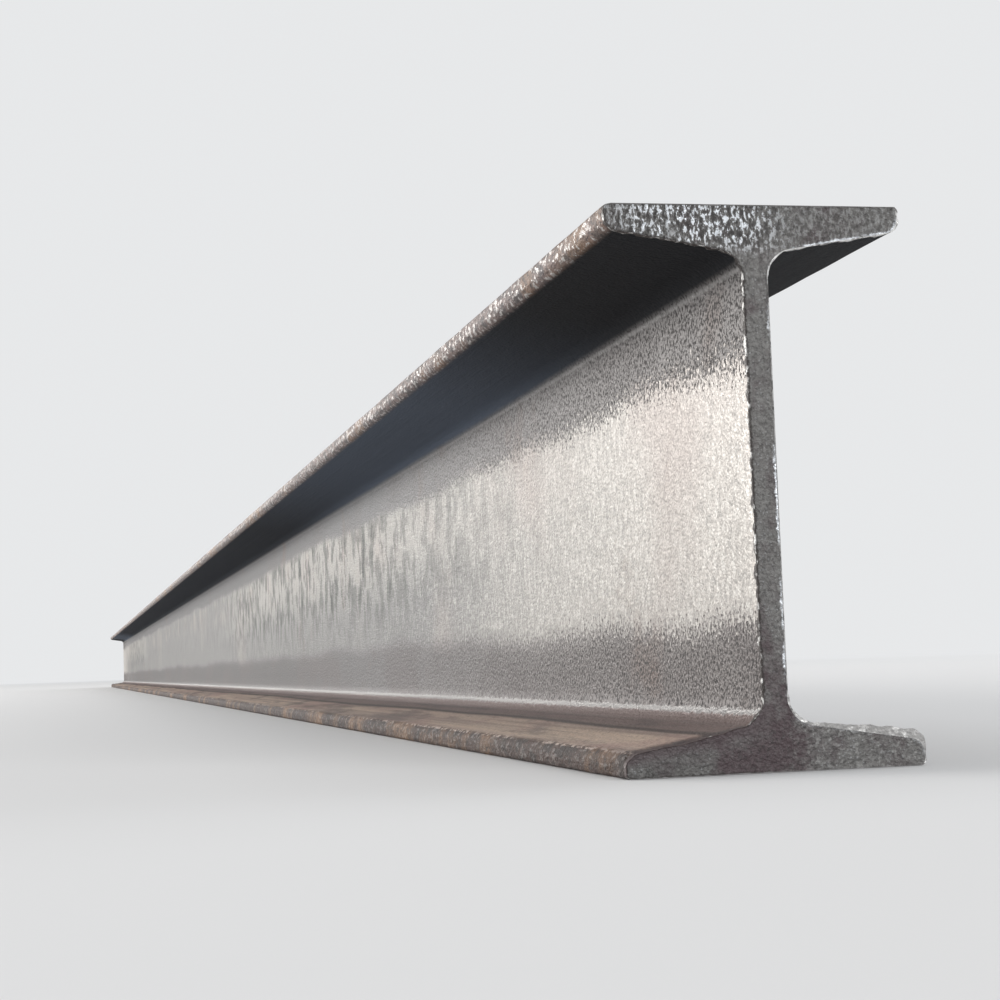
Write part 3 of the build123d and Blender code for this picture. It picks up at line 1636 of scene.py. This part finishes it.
@dataclass
class Studio:
    """A pale floor that fades into a pale background, soft lamps and the camera."""

    low: Vector
    high: Vector
    backdrop: Colour = (0.80, 0.81, 0.82)
    sky: Colour = (0.93, 0.96, 1.0)
    sky_strength: float = 0.42
    floor: Colour = (0.74, 0.735, 0.73)
    floor_in_light: Colour = (0.30, 0.295, 0.29)
    floor_half: float = 60.0
    floor_below: float = 0.05 * MM
    fade: Pair = (0.45, 3.6)
    eye_left: float = 193.0 * MM
    eye_before_end: float = 523.1 * MM
    eye_height: float = 33.2 * MM
    heading: float = 12.578
    pitch: float = 4.701
    roll: float = -2.110
    lens: float = 71.11
    sensor: float = 36.0

    def build(self) -> None:
        """Builds the floor, the world, the lamps and the camera."""
        self._floor()
        self._world()
        for lamp in self._lamps():
            lamp.build()
        self._camera()
        bpy.context.scene.view_settings.view_transform = "Standard"

    def _floor(self) -> None:
        """Lays the floor just under the beam."""
        mesh = bmesh.new()
        bmesh.ops.create_grid(mesh, x_segments=2, y_segments=2, size=self.floor_half)
        floor = show_mesh("floor", mesh)
        floor.data.transform(Matrix.Translation((0, 0, self.low.z - self.floor_below)))
        floor.data.materials.append(self._floor_material())

    def _floor_material(self) -> bpy.types.Material:
        """Pale to the eye, less pale to the light it throws back, and lost in the background far off.

        Returns:
            The material.
        """
        material, tree, shader, place = start_material("studio_floor")
        path = tree.add("ShaderNodeLightPath")
        seen = tree.math("MAXIMUM", path.outputs["Is Camera Ray"], path.outputs["Is Glossy Ray"])
        tree.feed(shader.inputs["Base Color"], tree.tint(seen, self.floor_in_light, self.floor))
        shader.inputs["Roughness"].default_value = 0.9
        shader.inputs["Specular IOR Level"].default_value = 0.1
        glow = tree.add("ShaderNodeEmission")
        tree.feed(glow.inputs["Color"], self.backdrop)
        length = tree.add("ShaderNodeVectorMath", operation="LENGTH")
        tree.feed(length.inputs[0], tree.drawn(place, 0.2))
        far = tree.times(tree.ease(length.outputs["Value"], *self.fade), seen)
        output = next(n for n in material.node_tree.nodes if n.type == "OUTPUT_MATERIAL")
        tree.feed(output.inputs["Surface"], tree.blend(far, shader.outputs[0], glow.outputs[0]))
        return material

    def _world(self) -> None:
        """Lights everything evenly, and shows the eye a pale background."""
        world = bpy.data.worlds.new("studio_world")
        bpy.context.scene.world = world
        world.use_nodes = True
        tree = Tree(world.node_tree)
        world.node_tree.nodes.clear()
        path = tree.add("ShaderNodeLightPath")
        light = tree.add("ShaderNodeBackground")
        tree.feed(light.inputs["Color"], self.sky)
        light.inputs["Strength"].default_value = self.sky_strength
        shown = tree.add("ShaderNodeBackground")
        tree.feed(shown.inputs["Color"], self.backdrop)
        blended = tree.blend(path.outputs["Is Camera Ray"], light.outputs[0], shown.outputs[0])
        tree.feed(tree.add("ShaderNodeOutputWorld").inputs["Surface"], blended)

    def _lamps(self) -> tuple[Lamp, ...]:
        """The lamps of the studio.

        Returns:
            A long window on the left, a fill in front, a fill on the right and one lamp overhead.
        """
        return (
            Lamp("left_window", (-9.5, 7.0, 3.2), (0.0, -2.2, 0.1), (11.0, 3.6), 1400.0, (1.0, 0.98, 0.95)),
            Lamp("front_fill", (3.4, -13.0, 4.0), (0.0, -3.0, 0.08), (6.5, 4.5), 620.0),
            Lamp("right_fill", (9.0, 0.5, 4.0), (0.0, 0.0, 0.1), (9.0, 4.0), 240.0, (0.96, 0.98, 1.0)),
            Lamp("overhead", (-0.6, 0.0, 5.5), (0.0, 0.0, 0.0), (5.0, 9.0), 150.0),
        )

    def _camera(self) -> None:
        """Stands the camera left of the near end, low down, as the photograph's stood."""
        data = bpy.data.cameras.new("camera")
        data.sensor_width = self.sensor
        data.lens = self.lens
        data.clip_start = 0.01
        data.clip_end = 200.0
        camera = show("camera", data)
        middle = (self.low.x + self.high.x) / 2
        eye = Vector((middle - self.eye_left, self.low.y - self.eye_before_end, self.low.z + self.eye_height))
        turn = (
            Matrix.Rotation(-math.radians(self.heading), 4, "Z")
            @ Matrix.Rotation(math.radians(90 + self.pitch), 4, "X")
            @ Matrix.Rotation(math.radians(self.roll), 4, "Z")
        )
        camera.matrix_world = Matrix.Translation(eye) @ turn
        bpy.context.scene.camera = camera


def main() -> None:
    """Builds the beam and its studio."""
    logging.basicConfig(level=logging.INFO, format="%(name)s: %(message)s")
    low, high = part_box("h_beam")
    low, high = Vector(low), Vector(high)
    beam_maker = RolledBeam(low, high)
    beam = beam_maker.build()
    places = SectionPlaces(beam_maker.section, beam_maker.length / 2).build()
    effects = Effects(places)
    finishes = {Skin.ROLLED: MillScale(), Skin.CUT: CutSteel(), Skin.BURR: BurrSteel()}
    for skin in Skin:
        beam.data.materials.append(finishes[skin].material(effects))
    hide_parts("h_beam")
    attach(beam, "root")
    beam.data.calc_loop_triangles()
    LOG.info("%s: %d triangles", beam.name, len(beam.data.loop_triangles))
    Studio(low, high).build()


if __name__ == "__main__":
    main()
